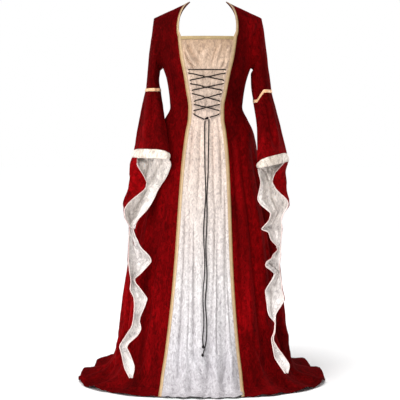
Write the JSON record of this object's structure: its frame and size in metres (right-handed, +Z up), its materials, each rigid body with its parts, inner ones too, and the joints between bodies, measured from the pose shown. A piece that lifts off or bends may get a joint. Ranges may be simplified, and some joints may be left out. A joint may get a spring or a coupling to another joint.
{
  "type": "medieval gown",
  "caption": "Floor-length medieval gown with square neckline, laced ivory front panel, gold braid, and long hanging sleeves, held as worn.",
  "frame": {"origin": "midway between the two points where the shoulder seams meet the neck, where the wearer's shoulders hold the gown up", "axes": "+Z up, -Y the way the wearer faces, +X the wearer's left; the hem and train lie on the floor at z = -1.45 m"},
  "size_m": [0.9506, 0.9344, 1.4506],
  "materials": {
    "red_velvet": "crushed velvet, soft sheen",
    "ivory_velvet": "crushed velvet, silvery sheen",
    "gold_braid": "woven braid, satin",
    "dark_cord": "twisted cord"
  },
  "bodies": {
    "root": {"front_centre_panel": "ivory_velvet", "bodice_side_front_left": "red_velvet", "bodice_side_front_right": "red_velvet", "bodice_side_back_left": "red_velvet", "bodice_side_back_right": "red_velvet", "skirt_side_front_left": "red_velvet", "skirt_side_front_right": "red_velvet", "skirt_side_back_left": "red_velvet", "skirt_side_back_right": "red_velvet", "back_left": "red_velvet", "back_right": "red_velvet", "princess_trim_left": "gold_braid", "princess_trim_right": "gold_braid", "neckline_trim_front": "gold_braid", "upper_sleeve_right": "red_velvet", "lower_sleeve_front_right": "red_velvet", "lower_sleeve_back_right": "red_velvet", "hanging_sleeve_right": "red_velvet", "sleeve_band_right": "gold_braid", "sleeve_lining_right": "ivory_velvet", "cuff_right": "ivory_velvet", "upper_sleeve_left": "red_velvet", "lower_sleeve_front_left": "red_velvet", "lower_sleeve_back_left": "red_velvet", "hanging_sleeve_left": "red_velvet", "sleeve_band_left": "gold_braid", "sleeve_lining_left": "ivory_velvet", "cuff_left": "ivory_velvet", "lacing_loop_left_1": "ivory_velvet", "lacing_loop_right_1": "ivory_velvet", "lacing_loop_left_2": "ivory_velvet", "lacing_loop_right_2": "ivory_velvet", "lacing_loop_left_3": "ivory_velvet", "lacing_loop_right_3": "ivory_velvet", "lacing_loop_left_4": "ivory_velvet", "lacing_loop_right_4": "ivory_velvet", "lacing_loop_left_5": "ivory_velvet", "lacing_loop_right_5": "ivory_velvet", "lacing_cord": "dark_cord", "lacing_knot": "dark_cord", "lace_end_right": "dark_cord", "lace_end_knot_right": "dark_cord", "lace_end_left": "dark_cord", "lace_end_knot_left": "dark_cord"}
  },
  "joints": []
}
